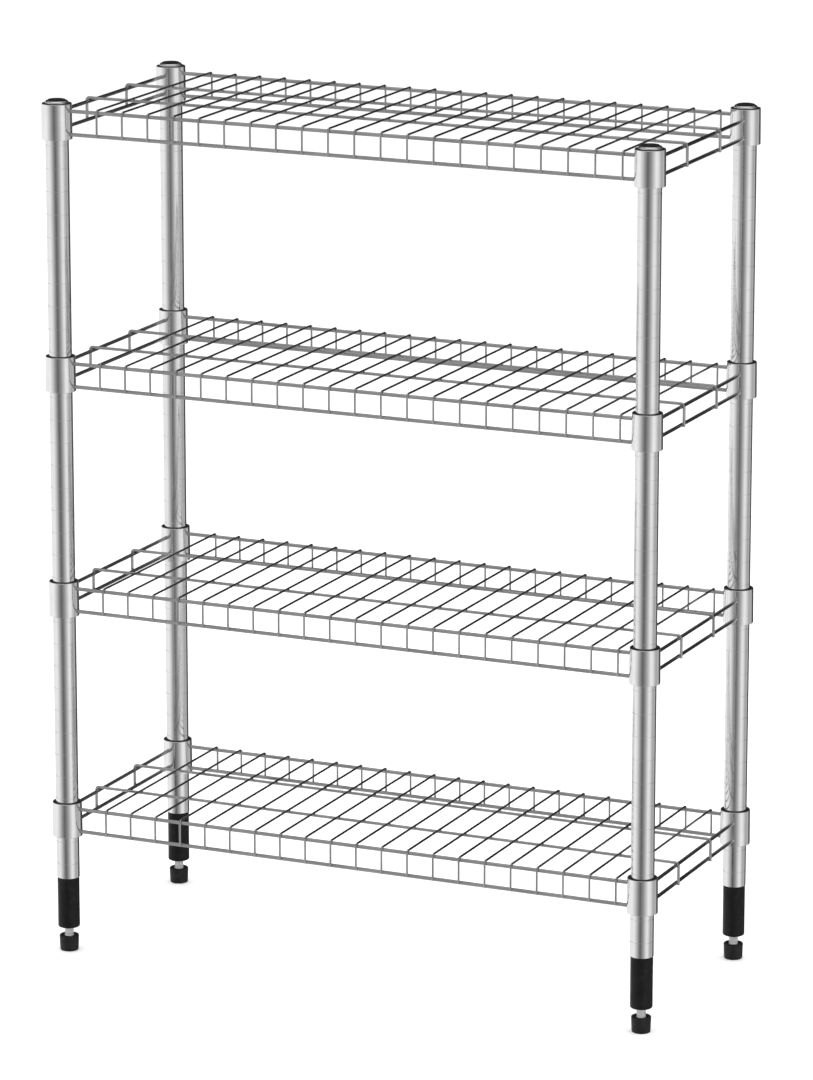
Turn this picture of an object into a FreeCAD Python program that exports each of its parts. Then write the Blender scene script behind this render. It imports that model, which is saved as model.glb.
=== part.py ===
"""Four-tier wire shelving rack: round posts, collars on split tapered clips, wire shelves, levelling feet.

Millimetres. +Z up, +X along the width, -Y is the front. The origin is on the floor at the centre of the plan.
"""
import FreeCAD, Part
import math
import os

# Overall layout
HEIGHT = 950.0                # floor to the top of the post caps
POST_SPAN_X = 680.0           # post centre to post centre, width
POST_SPAN_Y = 272.0           # post centre to post centre, depth

# Posts: two tube sections screwed together end to end
POST_RADIUS = 12.5
POST_WALL = 1.0
POST_TOP_Z = 948.6
POST_JOINT_Z = 515.0
POST_BOTTOM_Z = 84.5
POST_CURL = 2.2               # depth over which the tube's top mouth is curled in
POST_MOUTH_RADIUS = 9.7
GROOVE_PITCH = 25.0
GROOVE_WIDTH = 0.8
GROOVE_FLOOR = 0.7
GROOVE_DEPTH = 0.25

# Shelves sit on grooves: collar tops, from the top shelf down, in whole groove pitches
TOP_COLLAR_Z = 945.5
SHELF_PITCHES_DOWN = (0, 11, 21, 31)

# Collars: almost straight outside, with a tapered bore that sits on the split clips' cone
COLLAR_HEIGHT = 38.5
COLLAR_TOP_RADIUS = 16.15
COLLAR_BOTTOM_RADIUS = 16.45
COLLAR_TOP_BORE = 14.3
COLLAR_BOTTOM_BORE = 15.4
CLIP_GAP = 0.2                # between the clip's cone and the collar's bore
CLIP_PLAY = 0.05              # between the clip and the post
CLIP_RIM = 1.1                # clip standing above the collar's top
CLIP_HEM = 1.0                # collar hanging below the clip
CLIP_RIB_DROP = 19.25         # clip rib and its groove, below the collar's top
CLIP_RIB_WIDTH = 0.6
CLIP_HALF_ANGLE = 176.0       # each half, so a 2 degree slit at each side

# Shelf wires
RAIL_RADIUS = 2.0
DECK_RADIUS = 1.2
SUPPORT_RADIUS = 1.7
WELD_BITE = 0.2               # how far a resistance weld sinks one wire into the next
RAIL_BITE = 0.5               # how far a rail's end sinks into the collar's wall
TOP_RAIL_DROP = 7.8           # front and back top rails, below the collar's top
LOW_RAIL_DROP = 33.0          # front and back bottom rails, below the collar's top
SIDE_LOW_RAIL_DROP = 30.5
SIDE_RAIL_OFFSET = 4.0        # side rails stand this far outside the post centres
DECK_WIRE_COUNT = 21
DECK_FIRST_MARGIN = 49.0      # left post centre to the first deck wire
DECK_LAST_MARGIN = 29.0       # last deck wire to the right post centre
DECK_LEG_END = 1.0            # deck wire legs end this far below the bottom rail's axis
SUPPORT_FRONT_Y = -52.0
SUPPORT_BACK_Y = 42.0
SUPPORT_LEG_END = 1.5

# Post caps: plugs pushed into the tube's mouth
CAP_PLAY = 0.05
CAP_PLUG_DEPTH = 12.0
CAP_CROWN = 1.4
CAP_WALL = 1.25
CAP_EDGE = 0.3
CAP_BEAD = 0.5                # snap bead under the curled mouth

# Screwed joint between the two post sections
STUD_RADIUS = 8.0
STUD_HEAD_LENGTH = 20.0
STUD_THREAD_LENGTH = 20.0
INSERT_LENGTH = 25.0
FIT_PLAY = 0.05
JOINT_SLIT = 0.2

# Levelling feet: moulded barrel with a captive nut, a screwed stem and a swivelling pad
BARREL_RADIUS = 12.0
BARREL_BOTTOM_Z = 27.0
BARREL_EDGE = 1.6
BARREL_SPIGOT = 30.0
BARREL_BORE_RADIUS = 5.5
BARREL_BORE_DEPTH = 60.0
NUT_FLATS = 16.0
NUT_HEIGHT = 8.0
NUT_LIP = 2.0
NUT_PLAY = 0.05
STEM_RADIUS = 5.0
STEM_PLAY = 0.06
STEM_TOP_Z = 66.0
STEM_FLANGE_RADIUS = 7.0
STEM_FLANGE_Z = 5.0
STEM_FLANGE_HEIGHT = 3.0
STEM_CHAMFER = 0.8
PAD_TOP_RADIUS = 10.7
PAD_BOTTOM_RADIUS = 10.1
PAD_TOP_Z = 17.3
PAD_EDGE = 1.2
PAD_PLAY = 0.1

# Values worked out from the ones above
POST_BORE = POST_RADIUS - POST_WALL
PRESS_RADIUS = POST_BORE - FIT_PLAY
HALF_X = POST_SPAN_X / 2.0
HALF_Y = POST_SPAN_Y / 2.0
WRAP_RADIUS = RAIL_RADIUS + DECK_RADIUS - WELD_BITE
SUPPORT_WRAP_RADIUS = RAIL_RADIUS + SUPPORT_RADIUS - WELD_BITE
POSTS = {
    "front_left": (-HALF_X, -HALF_Y),
    "front_right": (HALF_X, -HALF_Y),
    "back_left": (-HALF_X, HALF_Y),
    "back_right": (HALF_X, HALF_Y),
}


def turned(profile, angle=360.0):
    """Revolve a closed (radius, height) outline about the Z axis."""
    points = [FreeCAD.Vector(radius, 0.0, height) for radius, height in profile]
    face = Part.Face(Part.makePolygon(points + points[:1]))
    return face.revolve(FreeCAD.Vector(0, 0, 0), FreeCAD.Vector(0, 0, 1), angle)


def placed(shape, x, y):
    """A copy of a shape moved to a place in plan."""
    copy = shape.copy()
    copy.translate(FreeCAD.Vector(x, y, 0.0))
    return copy


def at_posts(shape):
    """Four copies of a shape, one on each post's axis."""
    return Part.makeCompound([placed(shape, x, y) for x, y in POSTS.values()])


def save(name, shape):
    """Write one named piece, or one group of identical pieces."""
    shape.exportStep("parts/" + name + ".step")


def hexagon(flats, bottom, height):
    """A hexagonal prism, given its distance across flats."""
    corner = flats / math.sqrt(3.0)
    turns = [math.radians(60.0 * step) for step in range(7)]
    points = [FreeCAD.Vector(corner * math.cos(turn), corner * math.sin(turn), bottom) for turn in turns]
    return Part.Face(Part.makePolygon(points)).extrude(FreeCAD.Vector(0.0, 0.0, height))


def bent_wire(start, corners, end, bend, radius):
    """A round wire through corner points, each corner bent to the given centre-line radius."""
    points = [FreeCAD.Vector(*point) for point in (start, *corners, end)]
    edges = []
    here = points[0]
    for before, corner, after in zip(points, points[1:], points[2:]):
        into = (corner - before).normalize()
        out = (after - corner).normalize()
        arc_start = corner - into * bend
        arc_end = corner + out * bend
        centre = arc_start + out * bend
        middle = centre + (corner - centre).normalize() * bend
        edges.append(Part.LineSegment(here, arc_start).toShape())
        edges.append(Part.Arc(arc_start, middle, arc_end).toShape())
        here = arc_end
    edges.append(Part.LineSegment(here, points[-1]).toShape())
    section = Part.Wire(Part.makeCircle(radius, points[0], points[1] - points[0]))
    return Part.Wire(edges).makePipeShell([section], True, True)


def straight_wire(start, end, radius):
    """A straight round wire between two points."""
    first = FreeCAD.Vector(*start)
    run = FreeCAD.Vector(*end) - first
    return Part.makeCylinder(radius, run.Length, first, run)


def groove_heights():
    """Heights of the post grooves, on the pitch that the clip ribs sit on."""
    top = TOP_COLLAR_Z - CLIP_RIB_DROP
    count = int((top - POST_BOTTOM_Z) / GROOVE_PITCH)
    return [top - GROOVE_PITCH * step for step in range(count + 1)]


def post_tube(bottom, top, curled):
    """One grooved post section, its top mouth either curled in or cut square."""
    outline = [(POST_BORE, bottom), (POST_RADIUS, bottom)]
    for height in sorted(groove_heights()):
        if bottom + GROOVE_WIDTH < height < top - GROOVE_WIDTH:
            outline.append((POST_RADIUS, height - GROOVE_WIDTH / 2.0))
            outline.append((POST_RADIUS - GROOVE_DEPTH, height - GROOVE_FLOOR / 2.0))
            outline.append((POST_RADIUS - GROOVE_DEPTH, height + GROOVE_FLOOR / 2.0))
            outline.append((POST_RADIUS, height + GROOVE_WIDTH / 2.0))
    if curled:
        shoulder = POST_RADIUS - POST_CURL
        for degrees in range(0, 91, 15):
            turn = math.radians(degrees)
            outline.append((shoulder + POST_CURL * math.cos(turn), top - POST_CURL + POST_CURL * math.sin(turn)))
        outline.append((POST_MOUTH_RADIUS, top))
        outline.append((POST_MOUTH_RADIUS, top - POST_WALL))
        outline.append((POST_BORE, top - POST_CURL - POST_WALL))
    else:
        outline.append((POST_RADIUS, top))
        outline.append((POST_BORE, top))
    return turned(outline)


def joint_stud():
    """Stud pressed into the upper section, its screwed end pointing down."""
    head_top = POST_JOINT_Z + STUD_HEAD_LENGTH
    return turned([
        (0.0, POST_JOINT_Z - STUD_THREAD_LENGTH),
        (STUD_RADIUS - STEM_CHAMFER, POST_JOINT_Z - STUD_THREAD_LENGTH),
        (STUD_RADIUS, POST_JOINT_Z - STUD_THREAD_LENGTH + STEM_CHAMFER),
        (STUD_RADIUS, POST_JOINT_Z),
        (PRESS_RADIUS, POST_JOINT_Z),
        (PRESS_RADIUS, head_top - STEM_CHAMFER),
        (PRESS_RADIUS - STEM_CHAMFER, head_top),
        (0.0, head_top),
    ])


def joint_insert():
    """Threaded ring pressed into the lower section's top end."""
    top = POST_JOINT_Z - JOINT_SLIT
    return turned([
        (STUD_RADIUS + FIT_PLAY, top - INSERT_LENGTH),
        (PRESS_RADIUS, top - INSERT_LENGTH),
        (PRESS_RADIUS, top),
        (STUD_RADIUS + FIT_PLAY, top),
    ])


def post_cap():
    """Plug in the post's curled mouth: low crown above, snap bead below the curl."""
    radius = POST_MOUTH_RADIUS - CAP_PLAY
    bottom = POST_TOP_Z - CAP_PLUG_DEPTH
    roof = POST_TOP_Z - 2.0 * CAP_WALL
    bead = POST_TOP_Z - POST_CURL - 2.0 * POST_WALL
    return turned([
        (radius - CAP_WALL, bottom),
        (radius, bottom),
        (radius, bead - 2.0 * CAP_BEAD),
        (radius + CAP_BEAD, bead - CAP_BEAD),
        (radius, bead),
        (radius, POST_TOP_Z + CAP_CROWN * 0.35),
        (radius - CAP_EDGE, POST_TOP_Z + CAP_CROWN * 0.65),
        (radius * 0.7, POST_TOP_Z + CAP_CROWN * 0.9),
        (radius * 0.35, HEIGHT),
        (0.0, HEIGHT),
        (0.0, roof),
        (radius - CAP_WALL, roof),
    ])


def foot_barrel():
    """Moulded barrel under the post: spigot in the tube, hex pocket and clearance bore for the stem."""
    top = POST_BOTTOM_Z + BARREL_SPIGOT
    bore_top = BARREL_BOTTOM_Z + BARREL_BORE_DEPTH
    spigot_radius = POST_BORE - CAP_PLAY
    body = turned([
        (0.0, BARREL_BOTTOM_Z),
        (BARREL_RADIUS - BARREL_EDGE, BARREL_BOTTOM_Z),
        (BARREL_RADIUS - BARREL_EDGE * 0.3, BARREL_BOTTOM_Z + BARREL_EDGE * 0.3),
        (BARREL_RADIUS, BARREL_BOTTOM_Z + BARREL_EDGE),
        (BARREL_RADIUS, POST_BOTTOM_Z),
        (spigot_radius, POST_BOTTOM_Z),
        (spigot_radius, top - STEM_CHAMFER),
        (spigot_radius - STEM_CHAMFER, top),
        (0.0, top),
    ])
    bore = Part.makeCylinder(BARREL_BORE_RADIUS, bore_top - BARREL_BOTTOM_Z, FreeCAD.Vector(0, 0, BARREL_BOTTOM_Z))
    pocket_bottom = BARREL_BOTTOM_Z + NUT_LIP - NUT_PLAY
    pocket = hexagon(NUT_FLATS + 2.0 * NUT_PLAY, pocket_bottom, NUT_HEIGHT + 2.0 * NUT_PLAY)
    return body.cut(bore).cut(pocket)


def captive_nut():
    """Hex nut moulded into the barrel's lower end."""
    bottom = BARREL_BOTTOM_Z + NUT_LIP
    bore = Part.makeCylinder(STEM_RADIUS + STEM_PLAY, NUT_HEIGHT, FreeCAD.Vector(0, 0, bottom))
    return hexagon(NUT_FLATS, bottom, NUT_HEIGHT).cut(bore)


def leveller_stem():
    """Screwed stem with a flange at its foot that turns in the pad."""
    flange_top = STEM_FLANGE_Z + STEM_FLANGE_HEIGHT
    return turned([
        (0.0, STEM_FLANGE_Z),
        (STEM_FLANGE_RADIUS, STEM_FLANGE_Z),
        (STEM_FLANGE_RADIUS, flange_top),
        (STEM_RADIUS, flange_top),
        (STEM_RADIUS, STEM_TOP_Z - STEM_CHAMFER),
        (STEM_RADIUS - STEM_CHAMFER, STEM_TOP_Z),
        (0.0, STEM_TOP_Z),
    ])


def leveller_pad():
    """Pad on the floor, closed over the stem's flange."""
    cavity_radius = STEM_FLANGE_RADIUS + PAD_PLAY
    cavity_top = STEM_FLANGE_Z + STEM_FLANGE_HEIGHT + PAD_PLAY
    neck_radius = STEM_RADIUS + PAD_PLAY
    return turned([
        (0.0, 0.0),
        (PAD_BOTTOM_RADIUS - PAD_EDGE, 0.0),
        (PAD_BOTTOM_RADIUS, PAD_EDGE),
        (PAD_TOP_RADIUS, PAD_TOP_Z - PAD_EDGE),
        (PAD_TOP_RADIUS - PAD_EDGE, PAD_TOP_Z),
        (neck_radius, PAD_TOP_Z),
        (neck_radius, cavity_top),
        (cavity_radius, cavity_top),
        (cavity_radius, STEM_FLANGE_Z - PAD_PLAY),
        (0.0, STEM_FLANGE_Z - PAD_PLAY),
    ])


def collar_radius(drop):
    """Outer radius of a collar at a depth below its top."""
    return COLLAR_TOP_RADIUS + (COLLAR_BOTTOM_RADIUS - COLLAR_TOP_RADIUS) * drop / COLLAR_HEIGHT


def collar_bore(drop):
    """Bore radius of a collar at a depth below its top."""
    return COLLAR_TOP_BORE + (COLLAR_BOTTOM_BORE - COLLAR_TOP_BORE) * drop / COLLAR_HEIGHT


def collar(top):
    """Corner collar with a tapered bore."""
    bottom = top - COLLAR_HEIGHT
    return turned([
        (COLLAR_BOTTOM_BORE, bottom),
        (COLLAR_BOTTOM_RADIUS, bottom),
        (COLLAR_TOP_RADIUS, top),
        (COLLAR_TOP_BORE, top),
    ])


def clip_half(top):
    """One half of a split clip: tapered outside, ribbed inside to sit in a post groove."""
    low_drop = COLLAR_HEIGHT - CLIP_HEM
    inner = POST_RADIUS + CLIP_PLAY
    rib = POST_RADIUS - GROOVE_DEPTH + CLIP_PLAY
    rib_z = top - CLIP_RIB_DROP
    half = turned([
        (inner, top - low_drop),
        (collar_bore(low_drop) - CLIP_GAP, top - low_drop),
        (COLLAR_TOP_BORE - CLIP_GAP, top),
        (COLLAR_TOP_BORE - CLIP_GAP, top + CLIP_RIM),
        (inner, top + CLIP_RIM),
        (inner, rib_z + CLIP_RIB_WIDTH / 2.0),
        (rib, rib_z + CLIP_RIB_WIDTH / 4.0),
        (rib, rib_z - CLIP_RIB_WIDTH / 4.0),
        (inner, rib_z - CLIP_RIB_WIDTH / 2.0),
    ], CLIP_HALF_ANGLE)
    half.rotate(FreeCAD.Vector(0, 0, 0), FreeCAD.Vector(0, 0, 1), (180.0 - CLIP_HALF_ANGLE) / 2.0)
    return half


def clip_halves(top, x):
    """Both halves of the clip at each of the two posts on one side of the rack."""
    first = clip_half(top)
    second = clip_half(top)
    second.rotate(FreeCAD.Vector(0, 0, 0), FreeCAD.Vector(0, 0, 1), 180.0)
    halves = [placed(half, x, y) for y in (-HALF_Y, HALF_Y) for half in (first, second)]
    return Part.makeCompound(halves)


def long_rails(top, y):
    """Top and bottom rail along the front or the back, butt welded to two collars."""
    rails = []
    for drop in (TOP_RAIL_DROP, LOW_RAIL_DROP):
        reach = HALF_X - collar_radius(drop) + RAIL_BITE
        rails.append(straight_wire((-reach, y, top - drop), (reach, y, top - drop), RAIL_RADIUS))
    return Part.makeCompound(rails)


def side_top_rail_drop():
    """Depth of the side top rails, which carry the ends of the support wires."""
    support_drop = TOP_RAIL_DROP - WRAP_RADIUS + DECK_RADIUS + SUPPORT_RADIUS - WELD_BITE
    return support_drop + SUPPORT_WRAP_RADIUS


def side_rails(top):
    """Top and bottom rails of both sides, butt welded to the collars."""
    rails = []
    for x in (-HALF_X - SIDE_RAIL_OFFSET, HALF_X + SIDE_RAIL_OFFSET):
        for drop in (side_top_rail_drop(), SIDE_LOW_RAIL_DROP):
            sagitta = math.sqrt(collar_radius(drop) ** 2 - SIDE_RAIL_OFFSET ** 2)
            reach = HALF_Y - sagitta + RAIL_BITE
            rails.append(straight_wire((x, -reach, top - drop), (x, reach, top - drop), RAIL_RADIUS))
    return Part.makeCompound(rails)


def deck_wires(top):
    """Cross wires: over both top rails, wrapped round them and down to the bottom rails."""
    first_x = DECK_FIRST_MARGIN - HALF_X
    pitch = (POST_SPAN_X - DECK_FIRST_MARGIN - DECK_LAST_MARGIN) / (DECK_WIRE_COUNT - 1)
    high = top - TOP_RAIL_DROP + WRAP_RADIUS
    low = top - LOW_RAIL_DROP - DECK_LEG_END
    reach = HALF_Y + WRAP_RADIUS
    corners = ((0.0, -reach, high), (0.0, reach, high))
    wire = bent_wire((0.0, -reach, low), corners, (0.0, reach, low), WRAP_RADIUS, DECK_RADIUS)
    return Part.makeCompound([placed(wire, first_x + pitch * step, 0.0) for step in range(DECK_WIRE_COUNT)])


def support_wires(top):
    """Long wires under the deck: over the side top rails and down to the side bottom rails."""
    high = top - side_top_rail_drop() + SUPPORT_WRAP_RADIUS
    low = top - SIDE_LOW_RAIL_DROP - SUPPORT_LEG_END
    reach = HALF_X + SIDE_RAIL_OFFSET + SUPPORT_WRAP_RADIUS
    corners = ((-reach, 0.0, high), (reach, 0.0, high))
    wire = bent_wire((-reach, 0.0, low), corners, (reach, 0.0, low), SUPPORT_WRAP_RADIUS, SUPPORT_RADIUS)
    return Part.makeCompound([placed(wire, 0.0, y) for y in (SUPPORT_FRONT_Y, SUPPORT_BACK_Y)])


def build_posts():
    """Posts, caps, screwed joints and levelling feet, one node for each piece at each corner."""
    pieces = {
        "post_upper": post_tube(POST_JOINT_Z, POST_TOP_Z, True),
        "post_lower": post_tube(POST_BOTTOM_Z, POST_JOINT_Z, False),
        "post_cap": post_cap(),
        "foot_barrel": foot_barrel(),
        "leveller_stem": leveller_stem(),
        "leveller_pad": leveller_pad(),
    }
    for corner, (x, y) in POSTS.items():
        for piece, shape in pieces.items():
            save(piece + "_" + corner, placed(shape, x, y))
    save("post_joint_studs", at_posts(joint_stud()))
    save("post_joint_inserts", at_posts(joint_insert()))
    save("leveller_nuts", at_posts(captive_nut()))


def build_shelves():
    """Four alike shelves and the clips that each one rests on."""
    for number, pitches in enumerate(SHELF_PITCHES_DOWN, start=1):
        top = TOP_COLLAR_Z - GROOVE_PITCH * pitches
        shelf = "shelf_" + str(number) + "_"
        save(shelf + "collars", at_posts(collar(top)))
        save(shelf + "front_rails", long_rails(top, -HALF_Y))
        save(shelf + "back_rails", long_rails(top, HALF_Y))
        save(shelf + "side_rails", side_rails(top))
        save(shelf + "deck_wires", deck_wires(top))
        save(shelf + "support_wires", support_wires(top))
        save("clip_halves_" + str(number) + "_left", clip_halves(top, -HALF_X))
        save("clip_halves_" + str(number) + "_right", clip_halves(top, HALF_X))


os.makedirs("parts", exist_ok=True)
build_posts()
build_shelves()
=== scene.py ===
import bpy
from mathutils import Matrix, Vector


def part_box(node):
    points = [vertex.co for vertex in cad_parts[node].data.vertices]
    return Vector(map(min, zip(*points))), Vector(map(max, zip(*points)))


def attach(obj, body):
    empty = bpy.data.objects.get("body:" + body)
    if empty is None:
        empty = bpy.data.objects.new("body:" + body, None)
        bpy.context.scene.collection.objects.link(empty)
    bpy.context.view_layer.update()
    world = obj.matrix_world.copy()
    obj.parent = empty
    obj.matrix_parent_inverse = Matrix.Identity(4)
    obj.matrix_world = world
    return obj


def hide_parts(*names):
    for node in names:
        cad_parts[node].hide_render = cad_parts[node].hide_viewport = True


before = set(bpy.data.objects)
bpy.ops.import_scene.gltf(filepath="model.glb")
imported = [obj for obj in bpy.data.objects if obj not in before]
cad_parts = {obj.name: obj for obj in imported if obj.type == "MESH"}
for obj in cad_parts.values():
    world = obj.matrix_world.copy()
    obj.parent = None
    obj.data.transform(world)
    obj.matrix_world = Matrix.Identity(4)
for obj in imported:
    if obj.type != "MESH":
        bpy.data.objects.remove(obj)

"""Wire shelving rack: chrome posts, wire shelves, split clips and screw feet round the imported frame.

Lengths are in metres. Each sub-assembly reads its place from the frame and builds its own pieces.
"""

import logging
import math
from dataclasses import dataclass
from enum import Enum

import bmesh
import bpy
from mathutils import Matrix, Vector

LOG = logging.getLogger("wire_rack")
MM = 0.001
MERGE = 0.000002  # points nearer than this are joined
SHARP = math.radians(24.0)  # edges that turn more than this are rounded
HALF_RIGHT = math.radians(45.0)  # tilt of a weld bead that lies in a bend
LONG_RUN = 4.0  # a straight run of this many guards is worth steadying
TIP_STEP = 0.3  # where a cut tip's rounding slackens, as a share of its length
TIP_WIDTHS = (0.72, 0.9)  # a cut tip's widths, as shares of the wire's
Point = tuple[float, float]
Place = tuple[float, float, float]


class Corner(Enum):
    """The four posts, by where they stand as seen from the front."""

    FRONT_LEFT = "front_left"
    FRONT_RIGHT = "front_right"
    BACK_LEFT = "back_left"
    BACK_RIGHT = "back_right"


class Slot(Enum):
    """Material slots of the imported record."""

    CHROME = "bright_chrome"
    COLLAR = "collar_chrome"
    ZINC = "zinc_steel"
    PLASTIC = "black_plastic"
    CLIP = "clip_plastic"
    FOOT = "foot_plastic"


# ---- Mesh helpers ----


def new_object(name: str, data: bpy.types.ID) -> bpy.types.Object:
    """Link a new object to the scene at the origin.

    Args:
        name: the piece's name.
        data: its mesh or curve.

    Returns:
        The object.
    """
    obj = bpy.data.objects.new(name, data)
    bpy.context.scene.collection.objects.link(obj)
    return obj


def profile_object(name: str, points: list[Point], closed: bool) -> bpy.types.Object:
    """Make an edge-only profile in the XZ plane, ready for a Screw modifier.

    Args:
        name: the piece's name.
        points: radius and height, down the outside first.
        closed: whether the last point joins the first.

    Returns:
        The profile's object.
    """
    mesh = bpy.data.meshes.new(name)
    vertices = [(radius, 0.0, height) for radius, height in points]
    edges = [(index, index + 1) for index in range(len(points) - 1)]
    if closed:
        edges.append((len(points) - 1, 0))
    mesh.from_pydata(vertices, edges, [])
    return new_object(name, mesh)


def add_screw(obj: bpy.types.Object, steps: int, angle: float = 2.0 * math.pi) -> bpy.types.ScrewModifier:
    """Turn a profile about the Z axis.

    Args:
        obj: the profile.
        steps: faces round the turn.
        angle: how far it turns, in radians.

    Returns:
        The modifier.
    """
    screw = obj.modifiers.new("turned", "SCREW")
    screw.axis = "Z"
    screw.angle = angle
    screw.steps = steps
    screw.render_steps = steps
    screw.use_merge_vertices = True
    screw.merge_threshold = MERGE
    screw.use_smooth_shade = True
    return screw


def add_bevel(obj: bpy.types.Object, width: float, segments: int = 2) -> None:
    """Round the sharp edges of a piece, and keep its broad faces shaded as they are.

    Args:
        obj: the piece.
        width: the rounding's width.
        segments: faces across it.
    """
    bevel = obj.modifiers.new("edge_rounding", "BEVEL")
    bevel.limit_method = "ANGLE"
    bevel.angle_limit = SHARP
    bevel.width = width
    bevel.segments = segments
    bevel.harden_normals = True


def add_array(obj: bpy.types.Object, name: str, count: int, offset: Place) -> None:
    """Repeat a piece at a constant step.

    Args:
        obj: the piece.
        name: what the row is.
        count: how many there are.
        offset: the step from one to the next.
    """
    array = obj.modifiers.new(name, "ARRAY")
    array.count = count
    array.use_relative_offset = False
    array.use_constant_offset = True
    array.constant_offset_displace = offset


def apply_stack(obj: bpy.types.Object, place: Place = (0.0, 0.0, 0.0)) -> None:
    """Apply a piece's modifiers, then its place, so that its object stays at the origin.

    Args:
        obj: the piece.
        place: where its own origin belongs.
    """
    graph = bpy.context.evaluated_depsgraph_get()
    mesh = bpy.data.meshes.new_from_object(obj.evaluated_get(graph), depsgraph=graph)
    mesh.transform(Matrix.Translation(place))
    obj.modifiers.clear()
    obj.data = mesh


def close_ends(obj: bpy.types.Object) -> None:
    """Fill a part-turned shape's two open ends.

    Args:
        obj: the applied piece.
    """
    work = bmesh.new()
    work.from_mesh(obj.data)
    rim = [edge for edge in work.edges if edge.is_boundary]
    bmesh.ops.holes_fill(work, edges=rim, sides=0)
    bmesh.ops.recalc_face_normals(work, faces=work.faces)
    work.to_mesh(obj.data)
    work.free()


def arc(centre: Point, radius: float, start: float, end: float, steps: int) -> list[Point]:
    """Points on an arc.

    Args:
        centre: the arc's centre.
        radius: its radius.
        start: its first angle, in degrees.
        end: its last angle, in degrees.
        steps: how many pieces it is cut into.

    Returns:
        The points, both ends included.
    """
    turns = [math.radians(start + (end - start) * step / steps) for step in range(steps + 1)]
    return [(centre[0] + radius * math.cos(turn), centre[1] + radius * math.sin(turn)) for turn in turns]


def steadied(points: list[Vector], guard: float) -> list[Vector]:
    """Add a point near both ends of each long straight run, so that its shading stays even.

    Args:
        points: a wire's centre line.
        guard: how far in from each end the new points stand.

    Returns:
        The centre line with the new points.
    """
    result = [points[0]]
    for start, end in zip(points, points[1:]):
        run = end - start
        if run.length > LONG_RUN * guard:
            step = run.normalized() * guard
            result += [start + step, end - step]
        result.append(end)
    return result


def wire_object(name: str, radius: float, routes: list[list[Place]], tip: float) -> bpy.types.Object:
    """Make round wires, with slightly rounded cut ends, as one bevelled curve.

    Args:
        name: the piece's name.
        radius: the wire's radius.
        routes: each wire's centre line.
        tip: length of the rounding at a cut end.

    Returns:
        The curve's object.
    """
    curve = bpy.data.curves.new(name, "CURVE")
    curve.dimensions = "3D"
    curve.bevel_depth = radius
    curve.bevel_resolution = 3
    curve.use_fill_caps = True
    for route in routes:
        points = [Vector(point) for point in route]
        first = (points[1] - points[0]).normalized() * tip
        last = (points[-2] - points[-1]).normalized() * tip
        points[1:1] = [points[0] + first * TIP_STEP, points[0] + first]
        points[-1:-1] = [points[-1] + last, points[-1] + last * TIP_STEP]
        points = steadied(points, radius)
        full = [1.0] * (len(points) - 2 * len(TIP_WIDTHS))
        widths = [*TIP_WIDTHS, *full, *reversed(TIP_WIDTHS)]
        spline = curve.splines.new("POLY")
        spline.points.add(len(points) - 1)
        for knot, point, width in zip(spline.points, points, widths):
            knot.co = (*point, 1.0)
            knot.radius = width
        spline.use_smooth = True
    return new_object(name, curve)


def dress(obj: bpy.types.Object, material: bpy.types.Material, body: str, slot: Slot, *nodes: str) -> None:
    """Give a piece its finish, the body it rides on and the nodes it stands for.

    Args:
        obj: the piece.
        material: its finish.
        body: the body it moves with.
        slot: the record's slot for its finish; not used.
        nodes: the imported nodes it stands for.
    """
    obj.data.materials.clear()
    obj.data.materials.append(material)
    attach(obj, body)
    if nodes:
        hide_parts(*nodes)
    LOG.info("%s rides on %s", obj.name, body)


# ---- Finishes ----


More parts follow.
